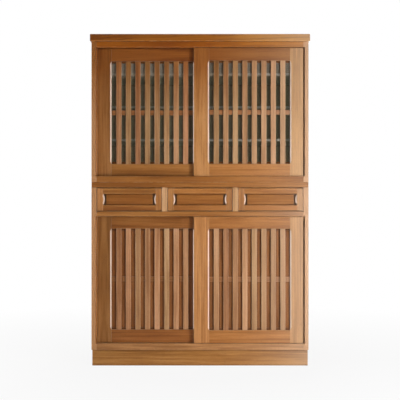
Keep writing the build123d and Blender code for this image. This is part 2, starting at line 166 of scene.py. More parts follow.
# %% Graph: one node tree
class Graph:
    """The node tree of a material or a world, filled one node at a time."""

    def __init__(self, owner):
        owner.use_nodes = True
        self.owner = owner
        self.tree = owner.node_tree
        self.tree.nodes.clear()

    def add(self, kind, settings, sockets, output=0):
        """Adds a node, with its settings first and its sockets next, and returns an output."""
        node = self.tree.nodes.new(kind)
        for name, value in settings.items():
            if name == "stops":
                set_stops(node.color_ramp, value)
            else:
                setattr(node, name, value)
        for key, value in sockets.items():
            socket = pick(node.inputs, key)
            if isinstance(value, Wire):
                self.tree.links.new(value.socket, socket)
            else:
                socket.default_value = value
        if isinstance(output, tuple):
            return [Wire(self, pick(node.outputs, key)) for key in output]
        return Wire(self, pick(node.outputs, output)) if node.outputs else None

    def mix(self, factor, first, second, blend="MIX"):
        """A blend of two colours."""
        return self.add("ShaderNodeMix", {"data_type": "RGBA", "blend_type": blend},
                        {"Factor": factor, "A": first, "B": second}, "Result")

    def join(self, x, y, z):
        """A vector from three numbers or wires."""
        return self.add("ShaderNodeCombineXYZ", {}, {0: x, 1: y, 2: z})

    def split(self, vector, output=(0, 1, 2)):
        """The x, y and z of a vector, or those of them that are asked for."""
        return self.add("ShaderNodeSeparateXYZ", {}, {0: vector}, output)

    def noise(self, place, scale, detail=2.0):
        """Smooth noise around 0.5, with `scale` lumps to the unit."""
        return self.add("ShaderNodeTexNoise", {},
                        {"Vector": place, "Scale": scale, "Detail": detail})

    def slope(self, value, start, end):
        """0 up to `start`, 1 from `end` on, and an even slope between them."""
        return self.add("ShaderNodeMapRange", {"clamp": True},
                        {"Value": value, "From Min": start, "From Max": end})

    def of_object(self, name):
        """A number that each object carries under a name."""
        return self.add("ShaderNodeAttribute",
                        {"attribute_type": "OBJECT", "attribute_name": name}, {}, "Fac")

    def here(self):
        """The place on the object, in metres."""
        return self.add("ShaderNodeTexCoord", {}, {}, "Object")

    def show(self, shader):
        """Links a shader to the output, and returns the material."""
        self.add("ShaderNodeOutputMaterial", {}, {"Surface": shader})
        return self.owner


def new_material(name):
    """An empty material and its graph."""
    return Graph(bpy.data.materials.new(name))


print("Graph adds any node")

# %% [markdown]
# ## Wood is a solid, not a wallpaper
#
# A board is cut from a log, and its pattern is the log's growth rings where the saw met them. Sawn
# beside the heart it shows arches, sawn towards it straight lines, and its end shows arcs. A flat
# picture wrapped round the board would get none of its six sides right. So each board gets a place
# in a log of its own: how far it runs along the grain, and how far it lies from the heart. The log
# is tilted a little against the saw, which is what draws the arches.
#
# A random number for each board chooses its log. One node may hold several boards, such as the
# eight slats of a door, and the number differs between them because each is an island of its mesh.
# All the measures below are metres.

# %% A place in the log
axis_number = {"X": 0, "Y": 1, "Z": 2}
log_length = 5  # boards are spread this far along the grain
log_slip = 0.5  # and this far across it
steepest_tilt = 0.05  # the log against the saw, for each metre of grain
furthest_heart = (0.16, 0.13)  # how far the heart comes and goes: beside a board, behind it
quarter_heart = (0.16, 0.02)  # the least distance from the heart, for straight lines
plain_heart = (0.0, 0.035)  # and for arches
clear_of_zero = 20  # keeps what comes and goes above nought
seed_steps = (91.7, 7.31, 3.19)  # how far islands, nodes and draws lie apart


class Log:
    """One board's place in its own log, in metres, and the random numbers that chose it."""

    def __init__(self, graph, along, through, quartered):
        self.graph = graph
        across = next(axis for axis in "XYZ" if axis not in (along, through))
        self.place = graph.split(graph.here())
        self.island = graph.add("ShaderNodeNewGeometry", {}, {}, "Random Per Island")
        self.node = graph.of_object("board")
        self.drawn = 0
        self.u = self.place[axis_number[along]] + self.luck() * log_length
        tilt = self.luck() * (2 * steepest_tilt) - steepest_tilt
        beside, behind = quarter_heart if quartered else plain_heart
        reach_beside, reach_behind = furthest_heart
        self.v = self.swing(self.place[axis_number[across]] + self.luck() * log_slip,
                            reach_beside) + beside
        self.w = self.swing(self.place[axis_number[through]] + self.luck() * log_slip
                            + tilt * self.u, reach_behind) + behind

    def luck(self):
        """A random number from 0 to 1 that is the same all over one board."""
        self.drawn += 1
        island_step, node_step, draw_step = seed_steps
        seed = self.island * island_step + self.node * node_step + self.drawn * draw_step
        return self.graph.add("ShaderNodeTexWhiteNoise", {"noise_dimensions": "1D"}, {"W": seed},
                              "Value")

    def swing(self, value, reach):
        """Runs up and down between 0 and `reach`, so that every board lies near a heart."""
        return self.graph.add("ShaderNodeMath", {"operation": "PINGPONG"},
                              {0: value + clear_of_zero, 1: reach})

    def grain(self, across_scale, along_scale, detail):
        """Noise that is drawn out along the grain."""
        stretched = self.graph.join(self.v * across_scale, self.w * across_scale,
                                    self.u * along_scale)
        return self.graph.noise(stretched, 1.0, detail)


print("each board has a log of its own")

# %% [markdown]
# ## Growth rings, streaks and pores
#
# The cupboard's wood is ring-porous, as ash, elm and chestnut are: each year starts with a line of
# open pores that take up the stain and turn dark, then closes to smooth summer wood. The layers
# tell that story at five sizes. Bands a finger wide come from good and bad years, and flames as
# long as a forearm from fibres that lean in and out. Rings a few millimetres apart carry the
# pores. Streaks run with the fibres, and the pores themselves are dark dashes a few hairs wide.
# The layers are worked out once, because the colour, the shine and the height of the surface all
# have to follow them.

# %% The sizes of the grain
ring_spacing = 0.0048  # metres
spring_share = 3  # a higher power leaves a thinner line of spring wood
heart_wander = 0.02  # metres by which bends pull a ring out of a true circle
band_scale = (75, 0.8, 40)  # bands: through the rings, along the grain, from board to board
band_push = 2.4  # rings that a band pushes its rings along
pore_edges = (0.66, 0.78)
pores_in_spring = 0.16
# lumps to the metre across the grain and along it, and their detail
lumps = {"bend": (5, 1.6, 1.0), "flame": (22, 2.6, 2.0), "streak": (120, 3.2, 3.0),
         "fibre": (900, 16, 2.0), "pore": (1500, 60, 1.0)}
print(f"rings {ring_spacing * mm:.1f} mm apart, and {len(lumps)} sizes of lumps")

# %% The layers of the grain
def grain_layers(graph, log):
    """The patterns of one board: band, year, spring, streak, fibre, flame and pores."""
    bend = log.grain(*lumps["bend"]) - 0.5
    heart = (log.v ** 2 + log.w ** 2) ** 0.5 + bend * heart_wander
    years = graph.join(heart * band_scale[0], log.u * band_scale[1], log.luck() * band_scale[2])
    band = graph.noise(years, 1.0, 2.0) - 0.5
    turns = heart * (1 / ring_spacing) + band * band_push
    year = graph.add("ShaderNodeMath", {"operation": "FRACT"}, {0: turns})
    spring = (1 - year) ** spring_share
    return {
        "band": band,
        "year": year,
        "spring": spring,
        "streak": log.grain(*lumps["streak"]) - 0.5,
        "fibre": log.grain(*lumps["fibre"]) - 0.5,
        "flame": log.grain(*lumps["flame"]) - 0.5,
        "pores": graph.slope(log.grain(*lumps["pore"]) + spring * pores_in_spring, *pore_edges),
    }


print("seven layers of grain")

# %% [markdown]
# ## Stain
#
# Stain sinks in where the wood is open, so one number for how thirsty the wood is leads to the
# colour through a ramp of three: pale, middle and deep. The pores come on top, darker than the
# deepest wood.

# %% How much each layer drinks
drinks = {"band": 1.1, "flame": 1.45, "spring": 0.38, "streak": 1.2, "fibre": 0.5}
usual_spring = 0.25  # the average of the spring layer, which leaves the colour as it is
pale_at, middle_at, deep_at = 0.12, 0.5, 0.88
pore_stain = 0.55
pore_shade = 0.35  # of the deepest wood
print(f"the {max(drinks, key=drinks.get)} layer drinks most")

# %% Stain the grain
def shade_of(colour, amount):
    """A darker shade of a plain colour."""
    return (*[channel * amount for channel in colour], 1)


def stained(graph, layers, colours, strength):
    """The colour where the wood drank more and less. strength is how bold the grain is."""
    pale, middle, deep = colours
    thirst = middle_at + (layers["band"] * drinks["band"] + layers["flame"] * drinks["flame"]
                          + (layers["spring"] - usual_spring) * drinks["spring"]
                          + layers["streak"] * drinks["streak"]
                          + layers["fibre"] * drinks["fibre"]) * strength
    colour = graph.add("ShaderNodeValToRGB",
                       {"stops": [(pale_at, pale), (middle_at, middle), (deep_at, deep)]},
                       {"Fac": thirst}, "Color")
    return graph.mix(layers["pores"] * (pore_stain * strength), colour,
                     shade_of(deep, pore_shade))


print("stain follows the grain")

# %% [markdown]
# Then each board differs a little from its neighbour, as boards from other logs do: a number on
# the object says how it took the stain, and luck adds a little more and leans its hue. Both are
# tints that the colour is multiplied by, which changes a board as a whole and leaves its grain
# alone.

# %% Set boards apart
darkest_tint = (0.70, 0.62, 0.50, 1)
palest_tint = (1.30, 1.38, 1.50, 1)
red_lean = 0.13
green_lean = 0.07


def leaning(way, mixed):
    """A tint towards red for a way of 1, and towards green for -1."""
    return (1.0 + way * mixed * red_lean, 1.0 - way * mixed * green_lean, 1.0, 1)


def set_apart(graph, log, colour, mixed):
    """The colour of this board among others. mixed is how far boards differ from each other."""
    tone = graph.mix(graph.of_object("tone") + (log.luck() - 0.5) * mixed,
                     darkest_tint, palest_tint)
    hue = graph.mix(log.luck(), leaning(1, mixed), leaning(-1, mixed))
    colour = graph.mix(1.0, colour, tone, "MULTIPLY")
    return graph.mix(1.0, colour, hue, "MULTIPLY")


print("boards differ a little")

# %% [markdown]
# ## Painted light and shade across the front
#
# The front is painted paler towards the right, as painted light from that side, most at its right
# edge.
# High up in the top left corner it is painted a deeper orange, as painted shade. Both are broad
# slopes over the whole closed front, so that they run on from board to board, and a door takes its
# own painted light and shade along when it slides. They fade out behind the front.

# %% Paint light and shade onto the front
top_left_shade_tint = (0.68, 0.50, 0.25, 1)
right_light_colour = (0.75, 0.62, 0.48, 1)
# where each slope starts and ends, in metres
front_fades = (-0.2, 0.05)
top_shade_rises = (1.36, 1.64)
top_shade_fades = (0.05, 0.5)
right_light_rises = (-0.1, 0.6)
right_light_bend = 3  # a higher power keeps the painted light closer to the right edge


def painted_light_and_shade(graph, log, colour, painted_light):
    """Paints light towards the right and shade into the top left. sun is how much of that painted
    light a board gets.
    """
    x, y, z = log.place
    at_front = 1 - graph.slope(y, *front_fades)
    top_left_shade = graph.slope(z, *top_shade_rises) * (1 - graph.slope(x, *top_shade_fades)) * at_front
    colour = graph.mix(top_left_shade, colour, top_left_shade_tint, "MULTIPLY")
    right_light = graph.slope(x, *right_light_rises) ** right_light_bend * at_front * painted_light
    return graph.mix(right_light, colour, right_light_colour)


# this ageing is painted light from the right and painted shade in the top left
print("the front ages towards a window on the right")

# %% [markdown]
# ## Lippings and ends of another colour
#
# Some boards aren't one colour all through. A side board is lipped at the front with a strip of
# paler wood, a shelf has a pale edge, and a drawer box of plain wood is stained where it meets the
# front. The place from front to back says where the strip ends. Behind a door's rail lies a
# housing that the slats stand in, and it is painted dark as painted shade.

# %% Strips of another colour
glue_line = 0.001  # metres over which a strip passes into the board
housing_shade_edge = 0.002
housing_shade_level = 0.6


def strip(graph, log, colour, lipping):
    """Colours the front of a board, up to the given place from front to back."""
    edge, strip_colour = lipping
    return graph.mix(graph.slope(log.place[1], edge + glue_line, edge), colour, strip_colour)


def depth_below_face(graph, log):
    """How far a place lies behind the foremost face of its own object."""
    return log.place[1] - graph.of_object("face")


def shaded_housing(graph, log, colour, deep, recess):
    """Paints shade on what lies deeper than `recess` behind the face."""
    hidden = graph.slope(depth_below_face(graph, log), recess, recess + housing_shade_edge)
    return graph.mix(hidden, colour, shade_of(deep, housing_shade_level))


# the housings' dark colour is painted shade
print("lippings and housings have their own colour")

# %% [markdown]
# ## Painted highlights, wear and painted shade
#
# The chamfers of the doors and the lips of the finger pulls face neither straight ahead nor to the
# side, so the product of those two parts of the normal finds them, and there a pale painted
# highlight is laid on. The eased arrises carry a finish of their own with pale spots, partly wear
# and partly painted highlight. What lies in a nook gets painted shade: ambient occlusion finds it,
# and the colour deepens.

# %% Paint highlights on a board
chamfer_highlight_colour = (0.74, 0.55, 0.43, 1)
# the pale wood of the arris spots: partly wear, partly painted highlight
worn_and_highlit_wood = (0.66, 0.44, 0.26, 1)
counts_as_oblique = (0.12, 0.2)  # the squared product: never there, and fully there
highlight_depths = (0.007, 0.009)  # metres behind the face where the painted highlight is full, and where it is gone
spots_per_metre = 38
spot_edges = (0.35, 0.65)


def painted_chamfer_highlight(graph, log, colour, chamfer_highlight):
    """Paints a pale highlight on the faces that stand oblique to the front, near the face of the
    board.
    """
    normal = graph.add("ShaderNodeNewGeometry", {}, {}, "True Normal")
    sideways, forwards = graph.split(normal, (0, 1))
    oblique = graph.slope((sideways * forwards) ** 2, *counts_as_oblique)
    outer = 1 - graph.slope(depth_below_face(graph, log), *highlight_depths)
    return graph.mix(oblique * outer * chamfer_highlight, colour, chamfer_highlight_colour)


def worn_and_highlit_spots(graph, log, colour, arris_wear_and_highlight):
    """Lays pale spots on the arrises: partly wear, partly painted highlight."""
    lumpy = graph.noise(graph.join(*log.place), spots_per_metre, 3.0)
    return graph.mix(graph.slope(lumpy, *spot_edges) * arris_wear_and_highlight, colour, worn_and_highlit_wood)


# the pale corners are painted highlight
print("corners wear")

# %% Paint shade into the nooks
nook_reach = 0.012  # metres
nook_openness = (0.45, 0.95)  # fully a nook, and no nook
nook_samples = 4
nook_shade_level = 0.3


def painted_nook_shade(graph, colour, deep, amount):
    """Paints shade into nooks: the colour deepens where ambient occlusion finds one."""
    openness = graph.add("ShaderNodeAmbientOcclusion", {"samples": nook_samples},
                         {"Distance": nook_reach}, "AO")
    nook = 1 - graph.slope(openness, *nook_openness)
    return graph.mix(nook * amount, colour, shade_of(deep, nook_shade_level))


print("nooks fill")

# %% [markdown]
# ## Wood under satin lacquer
#
# The last coat is a satin lacquer that fills the pores only in part. So the same pores and fibres
# that carried the stain now feed the height of the surface, a few tenths of a millimetre, and the
# roughness: over a pore the film sinks in and shines less.

# %% Lacquer
lacquer_ior = 1.5
relief = 0.0004  # metres from the bottom of a pore to the top of the film
relief_strength = 0.35
rises = {"fibre": 0.5, "year": 0.35}  # against the depth of a pore
dulls = {"fibre": 0.1, "pores": 0.2, "band": 0.06}


def lacquered(graph, layers, colour, roughness):
    """The shader of lacquered wood: its film follows the grain."""
    height = layers["fibre"] * rises["fibre"] - layers["pores"] + layers["year"] * rises["year"]
    normal = graph.add("ShaderNodeBump", {}, {"Strength": relief_strength, "Distance": relief,
                                              "Height": height})
    dullness = (roughness + layers["fibre"] * dulls["fibre"] + layers["pores"] * dulls["pores"]
                + layers["band"] * dulls["band"])
    return graph.add("ShaderNodeBsdfPrincipled", {}, {
        "Base Color": colour, "Roughness": dullness, "Normal": normal, "IOR": lacquer_ior})


print("the film sinks into the pores")

# %% [markdown]
# One function puts the steps together, in the order in which a workshop and then a kitchen apply
# them. Steps that a board doesn't need are left out, so that its graph stays as small as it can
# be.

# %% One finish from all the steps
def wood_finish(name, along, through, colours, strength=1.0, roughness=0.36, arris_wear_and_highlight=0.0,
                lipping=None, quartered=True, recess=None, mixed=0.3, nook_shade=0.5,
                chamfer_highlight=0.0, painted_light=0.25):
    """A wood material.

    along, through: the axes of the grain and of the board's thickness
    colours: pale, middle and deep
    strength: how bold the grain is
    roughness: of the film over close wood
    rubbed, chamfer_highlight: pale spots on the arrises, partly wear and partly painted highlight,
    and the painted highlight on oblique faces
    lipping: where a strip of another colour ends, and its colour
    quartered: sawn towards the heart
    recess: how far behind the face the painted shade begins
    mixed: how far boards of this kind differ
    nook_shade: how much painted shade a nook gets
    sun: how much painted light from the right the board gets
    """
    graph = new_material(name)
    log = Log(graph, along, through, quartered)
    layers = grain_layers(graph, log)
    deep = colours[2]
    colour = set_apart(graph, log, stained(graph, layers, colours, strength), mixed)
    if lipping:
        colour = strip(graph, log, colour, lipping)
    # painted light from the right, painted shade in the top left
    colour = painted_light_and_shade(graph, log, colour, painted_light)
    # painted shade in the housings behind the rails
    if recess:
        colour = shaded_housing(graph, log, colour, deep, recess)
    # painted highlight on the oblique chamfers and lips
    if chamfer_highlight:
        colour = painted_chamfer_highlight(graph, log, colour, chamfer_highlight)
    # pale spots, partly wear and partly painted highlight
    if arris_wear_and_highlight:
        colour = worn_and_highlit_spots(graph, log, colour, arris_wear_and_highlight)
    # painted shade in the nooks
    colour = painted_nook_shade(graph, colour, deep, nook_shade)
    return graph.show(lacquered(graph, layers, colour, roughness))


print("a finish is one call")

# %% [markdown]
# ## Palettes
#
# A joiner picks boards for their place: the best for the doors, a redder one for the long rails, a
# paler one for the posts between the drawers. Each palette is pale, middle and deep, as linear
# colour, which is what a shader counts in.

# %% Palettes of the outside
stile_colours = ((0.50, 0.228, 0.073), (0.41, 0.172, 0.045), (0.28, 0.102, 0.021))
rail_colours = ((0.47, 0.188, 0.048), (0.385, 0.140, 0.028), (0.265, 0.083, 0.013))
head_colours = ((0.65, 0.245, 0.022), (0.54, 0.183, 0.011), (0.37, 0.109, 0.005))
top_colours = ((0.61, 0.265, 0.052), (0.505, 0.200, 0.028), (0.345, 0.118, 0.012))
sill_colours = ((0.37, 0.145, 0.030), (0.30, 0.106, 0.016), (0.21, 0.064, 0.007))
panel_colours = ((0.36, 0.139, 0.026), (0.295, 0.104, 0.015), (0.205, 0.063, 0.007))
base_colours = ((0.525, 0.266, 0.10), (0.435, 0.208, 0.068), (0.297, 0.125, 0.034))
plinth_colours = ((0.488, 0.215, 0.056), (0.4, 0.158, 0.032), (0.272, 0.095, 0.016))
slat_colours = ((0.565, 0.302, 0.150), (0.468, 0.234, 0.102), (0.32, 0.141, 0.051))
post_colours = ((0.672, 0.421, 0.222), (0.6, 0.345, 0.163), (0.468, 0.241, 0.098))
side_colours = ((0.5, 0.224, 0.074), (0.41, 0.165, 0.042), (0.279, 0.099, 0.021))
bar_colours = ((0.405, 0.172, 0.058), (0.335, 0.138, 0.043), (0.228, 0.081, 0.02))
pane_colours = ((0.38, 0.142, 0.040), (0.31, 0.103, 0.022), (0.21, 0.062, 0.009))
print("thirteen palettes for the outside")

# %% [markdown]
# Inside, nobody pays for show wood. Shelves and floors are veneered board, drawer boxes are plain
# pale wood, and the backs are plywood. Three kinds of board have a strip of another colour at the
# front: the first number says where it ends, in metres from the middle of the cupboard's depth.

# %% Palettes of the inside
inside_colours = ((0.56, 0.47, 0.37), (0.50, 0.41, 0.31), (0.40, 0.31, 0.22))
plain_colours = ((0.68, 0.55, 0.39), (0.60, 0.46, 0.30), (0.50, 0.36, 0.22))
ply_colours = ((0.58, 0.43, 0.27), (0.52, 0.36, 0.21), (0.42, 0.27, 0.15))

side_lipping = (-0.197, (0.49, 0.235, 0.095, 1))
shelf_lipping = (-0.1385, (0.80, 0.72, 0.62, 1))
stained_front = (-0.1935, (0.20, 0.085, 0.03, 1))
print("three palettes for the inside, and three strips")

# %% [markdown]
# ## Which board was sawn which way
#
# A joiner runs the grain along the longest side of every board, because wood hardly moves that way
# and bears most. Stiles, slats and side boards stand upright, and rails, shelves and tops lie. The
# first letter of a kind is the way its grain runs. The second says which way the board is thin, so
# that the rings curve behind its wide face. Most boards are sawn towards the heart for their
# straight lines. Broad ones show arches, so they are marked as not quartered.
#
# The settings that follow are those of `wood_finish`: the painted highlight on chamfers, the
# painted light from the right and the painted shade in a nook of that board.

# %% Kinds that several nodes share
# painted highlight on the chamfers of door stiles and drawer pulls
full_chamfer_highlight = 0.9
housing_depth = 0.006  # metres behind a rail's face, where the housings of the slats and their painted shade begin
# a fainter painted shade in the nooks of the drawer fronts
faint_nook_shade = 0.35
dim_painted_light = 0.12  # the painted light on boards that stand a little further back
side = ("side board", side_colours, "Z", "X",
        {"lipping": side_lipping, "quartered": False, "nook_shade": 0.0, "mixed": 0.12})
plinth = ("plinth", plinth_colours, "X", "Y", {})
inside = ("inside board", inside_colours, "X", "Z", {"strength": 0.6})
shelf = ("shelf", inside_colours, "X", "Z", {"strength": 0.6, "lipping": shelf_lipping})
raw = {"strength": 0.7, "roughness": 0.5}
print("side boards, plinths, inside boards and shelves")

# %% [markdown]
# The table goes by how a node's name ends, and the longest ending that fits wins: `front_stiles`
# of a drawer comes before `stiles`. That way more than fifty nodes need only some thirty lines.

# %% Kinds of board
# ending of the node's name: (kind, palette, grain runs along, thin along, settings)
boards = {
    "side_left": side,
    "side_right": side,
    "drawer_posts": ("drawer post", post_colours, "Z", "Y", {}),
    "stiles": ("stile", stile_colours, "Z", "Y", {"chamfer_highlight": full_chamfer_highlight}),
    "front_stiles": ("drawer stile", stile_colours, "Z", "Y",
                     {"chamfer_highlight": full_chamfer_highlight, "nook_shade": 0.2}),
    "slats": ("slat", slat_colours, "Z", "Y", {"mixed": 0.45}),
    "door_pane": ("wooden pane", pane_colours, "Z", "Y", {"painted_light": 0.0}),
    "door_rails": ("door rail", rail_colours, "X", "Y", {"recess": housing_depth, "painted_light": 0.15}),
    "rail": ("rail", rail_colours, "X", "Y", {}),
    "cross_bar": ("cross bar", bar_colours, "X", "Y", {}),
    "front_panel": ("drawer panel", panel_colours, "X", "Y",
                    {"quartered": False, "nook_shade": faint_nook_shade, "painted_light": 0.06}),
    "front_rails": ("drawer rail", rail_colours, "X", "Y",
                    {"nook_shade": faint_nook_shade, "painted_light": dim_painted_light}),
    "lower_sill_rail": ("base rail", base_colours, "X", "Y", {}),
    "upper_sill_rail": ("sill rail", sill_colours, "X", "Y", {"painted_light": dim_painted_light}),
    "lower_top_board": ("joint board", sill_colours, "X", "Z", {"painted_light": dim_painted_light}),
    "plinth_front": plinth,
    "plinth_back": plinth,
    "plinth_ends": ("plinth end", plinth_colours, "Y", "X", {}),
    "top_board": ("top board", top_colours, "X", "Z", {}),
    "upper_head_rail": ("head rail", head_colours, "X", "Y", {"painted_light": 0.15}),
    "floor_board": inside,
    "drawer_deck": inside,
    "lower_shelf": shelf,
    "shelf_low": shelf,
    "shelf_middle": shelf,
    "shelf_high": shelf,
    "drawer_partitions": ("partition", inside_colours, "Y", "X", {"strength": 0.6}),
    "drawer_guides": ("guide", plain_colours, "Y", "X", raw),
    "drawer_box": ("drawer box", plain_colours, "X", "Z", {**raw, "lipping": stained_front}),
    "dowels": ("dowel", plain_colours, "Z", "Y", raw),
    "back_panel": ("plywood", ply_colours, "Z", "Y",
                   {"strength": 0.8, "roughness": 0.6, "quartered": False}),
}
print(f"{len(boards)} endings of names lead to a kind of board")

# %% [markdown]
# ## How each board took the stain
#
# Two boards from the same log, stained from the same tin, still end up apart. A number on each
# node tells its finish how it came out: 0 is darkest, 1 is palest, and a node that isn't named
# here gets the middle. Panes of glass use the same number for how much light their film throws
# back, and the upper left pane's high number is painted light, as the lamps light that side less.

# %% Tones of single boards
middle_tone = 0.5
tones = {
    "top_board": 0.52,
    "upper_left_door_slats": 0.45,
    # painted light: this pane's film is raised because the lamps light it less
    "upper_left_door_pane": 0.95,
    "upper_right_door_stiles": 0.62,
    "upper_right_door_slats": 0.35,
    "upper_right_door_pane": 0.6,
    "right_drawer_front_panel": 0.36,
    "lower_left_door_stiles": 0.34,
    "lower_left_door_rails": 0.2,
    "lower_right_door_stiles": 0.7,
    "lower_right_door_slats": 0.32,
    "lower_right_door_pane": 0.3,
    "plinth_front": 0.41,
}
print(f"{len(tones)} nodes stand out from the rest")

# %% [markdown]
# ## Dark glass
#
# The upper doors hold panes of smoked glass. Real panes are hardly ever clean in a kitchen: steam
# and dust leave a thin film that throws a little light back, and a cloth leaves broad smears that
# blur the shine. Above about 1.57 m the film is painted paler and covers a little more, as painted
# light. A clear pane over a dark case would look like an open hole, so the film is what makes it
# read as glass.

# %% Make the glass
glass_film = (0.20, 0.195, 0.118, 1)
# painted light: the paler film above 1.57 m
painted_top_light = (0.58, 0.51, 0.395, 1)
no_film = (0.0, 0.0, 0.0, 1)
top_light_rises = (1.57, 1.594)  # metres above the floor
smears_per_metre = 9
smear_edges = (0.42, 0.68)
clean_roughness = 0.05
smear_roughness, top_light_roughness = 0.08, 0.06
clean_cover = 0.22  # how much of the light a clean pane holds back
smear_cover, top_light_cover = 0.03, 0.06
glass_ior = 1.5

glass = new_material("dark glass")
on_pane = glass.here()
smears = glass.slope(glass.noise(on_pane, smears_per_metre, 3.0), *smear_edges)
top_light = glass.slope(glass.split(on_pane, 2), *top_light_rises)
film = glass.mix(glass.of_object("tone"), no_film, glass.mix(top_light, glass_film, painted_top_light))
glass.show(glass.add("ShaderNodeBsdfPrincipled", {}, {
    "Base Color": film,
    "Roughness": smears * smear_roughness + top_light * top_light_roughness + clean_roughness,
    "Alpha": top_light * top_light_cover + smears * smear_cover + clean_cover,
    "IOR": glass_ior}))
# the film that thickens there is painted light
print(f"glass with a film that thickens above {top_light_rises[0]} m")

# %% [markdown]
# ## Turned steel
#
# Shelf pins are turned on a lathe from steel rod, which leaves fine rings round them. Stretched
# noise draws those rings: it changes fast along the pin and hardly at all round it. It feeds the
# colour, the roughness and the bump, so that the rings glint.

# %% Make the steel of the pins
rings_along = 2200  # to the metre
rings_round = 12
ring_height = 0.0001  # metres
ring_strength = 0.3
ring_roughness, turned_roughness = 0.25, 0.2
dull_steel = (0.48, 0.46, 0.43, 1)
bright_steel = (0.72, 0.70, 0.67, 1)

pin_steel = new_material("steel pin")
pin_x, pin_y, pin_z = pin_steel.split(pin_steel.here())
rings = pin_steel.noise(
    pin_steel.join(pin_x * rings_along, pin_y * rings_round, pin_z * rings_round), 1.0)
ringed = pin_steel.add("ShaderNodeBump", {},
                       {"Strength": ring_strength, "Distance": ring_height, "Height": rings})
pin_steel.show(pin_steel.add("ShaderNodeBsdfPrincipled", {}, {
    "Base Color": pin_steel.mix(rings, dull_steel, bright_steel), "Metallic": 1.0,
    "Roughness": rings * ring_roughness + turned_roughness, "Normal": ringed}))
print("steel for the pins")

# %% [markdown]
# ## Ease the arrises
#
# No joiner leaves an edge as sharp as the plane cut it: it would splinter, and lacquer would run
# thin on it. A few strokes of fine paper round it by less than a millimetre. That narrow round is
# what catches the light along every board, so it is worth real geometry. The doubled corners of
# the solid are welded first and its flat faces merged, so that the bevel runs only along true
# edges.

# %% Round an edge by less than a millimetre
arris_width = 0.0007  # metres
arris_segments = 2
weld_distance = 1e-5
flat_within = math.radians(0.5)
edge_from = math.radians(28)


def ease_arrises(piece):
    """Rounds the sharp edges of a board; the round gets the piece's second material."""
    weld = piece.modifiers.new("weld", "WELD")
    weld.merge_threshold = weld_distance
    merge = piece.modifiers.new("merge flats", "DECIMATE")
    merge.decimate_type = "DISSOLVE"
    merge.angle_limit = flat_within
    ease = piece.modifiers.new("arris", "BEVEL")
    ease.width = arris_width
    ease.segments = arris_segments
    ease.limit_method = "ANGLE"
    ease.angle_limit = edge_from
    ease.use_clamp_overlap = False
    ease.material = 1
    shade = piece.modifiers.new("flat faces stay flat", "WEIGHTED_NORMAL")
    shade.keep_sharp = False
    for polygon in piece.data.polygons:
        polygon.use_smooth = True


print(f"arrises of {arris_width * mm:.1f} mm")

# %% [markdown]
# ## Finish every board
#
# Now each node gets its pair of materials, one for its faces and one for its eased arrises, with
# pale spots that are partly wear and partly painted highlight. Boards of one kind share a pair,
# and are told apart by the numbers that the objects carry.

# %% Find the finish of a board
arris_wear_and_highlight_share = 0.35
made = {}


def finish_of(name):
    """The materials of a node's boards: on the faces, and on the arrises, whose pale spots are
    wear and painted highlight.
    """
    if name == "shelf_pins":
        return pin_steel.owner, pin_steel.owner
    if name.startswith("upper") and name.endswith("pane"):
        return glass.owner, glass.owner
    ending = next(end for end in sorted(boards, key=len, reverse=True) if name.endswith(end))
    kind, colours, along, through, settings = boards[ending]
    if kind not in made:
        on_arrises = {**settings, "arris_wear_and_highlight": arris_wear_and_highlight_share, "lipping": None}
        made[kind] = (wood_finish(kind, along, through, colours, **settings),
                      wood_finish(kind + " arris", along, through, colours, **on_arrises))
    return made[kind]


print("a kind's pair of materials is made when its first board comes up")

# %% Give each board its finish
for number, name in enumerate(sorted(nodes)):
    piece = nodes[name]
    piece["board"] = float(number)
    piece["tone"] = tones.get(name, middle_tone)
    piece["face"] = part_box(name)[0][1]
    finishes = finish_of(name)
    while len(piece.data.materials) < len(finishes):
        piece.data.materials.append(None)
    for slot, finish in enumerate(finishes):
        piece.material_slots[slot].link = "OBJECT"
        piece.material_slots[slot].material = finish
    ease_arrises(piece)
print(f"{len(made)} kinds of board finished, on {len(nodes)} nodes")

# %% [markdown]
# ## Nails round the backs
#
# A thin back is let into a rabbet and nailed, never glued, so that the boards of the case can move
# with the seasons. The nails are small steel ones with a low domed head, bought by weight and dull
# with tarnish, which comes in patches that are darker and rougher.

# %% Make the steel of the nails
patches_per_metre = 260
tarnished = (0.34, 0.31, 0.28, 1)
untarnished = (0.62, 0.60, 0.57, 1)
patch_roughness, nail_roughness = 0.3, 0.25

nail_steel = new_material("dull nail steel")
tarnish = nail_steel.noise(nail_steel.here(), patches_per_metre, 3.0)
nail_steel.show(nail_steel.add("ShaderNodeBsdfPrincipled", {}, {
    "Base Color": nail_steel.mix(tarnish, tarnished, untarnished),
    "Metallic": 1.0, "Roughness": tarnish * patch_roughness + nail_roughness}))
print("steel for the nails")

# %% [markdown]
# A head is a turned shape, so its half profile, given as radius and height in metres, is walked
# round in rings of points. The underside is closed too, because a solid head is a thing and a
# shell is only a picture of one.

# %% Turn one head
head_profile = [(0.0026, 0.0), (0.0026, 0.0003), (0.0021, 0.0008), (0.0011, 0.0011)]
ring_points = 14
sunk = 0.0002  # metres that the hammer drove the head into the plywood


def add_head(mesh, x, y, z):
    """Adds one closed head at a place on a rear face."""
    turned = []
    for radius, rise in head_profile:
        turned.append([mesh.verts.new((x + radius * math.cos(math.tau * i / ring_points),
                                       y + rise - sunk,
                                       z + radius * math.sin(math.tau * i / ring_points)))
                       for i in range(ring_points)])
    for lower, upper in zip(turned, turned[1:]):
        for i in range(ring_points):
            j = (i + 1) % ring_points
            mesh.faces.new((lower[i], upper[i], upper[j], lower[j]))
    mesh.faces.new(turned[0])
    mesh.faces.new(turned[-1][::-1])


print(f"a head is {2 * head_profile[0][0] * mm:.1f} mm across")

# %% [markdown]
# A back is nailed down both sides into the rabbets, and along every floor that it crosses. The
# spacing is stretched a little so that the row comes out even.

# %% Space the nails
nail_spacing = 0.12  # metres
nail_inset = 0.006


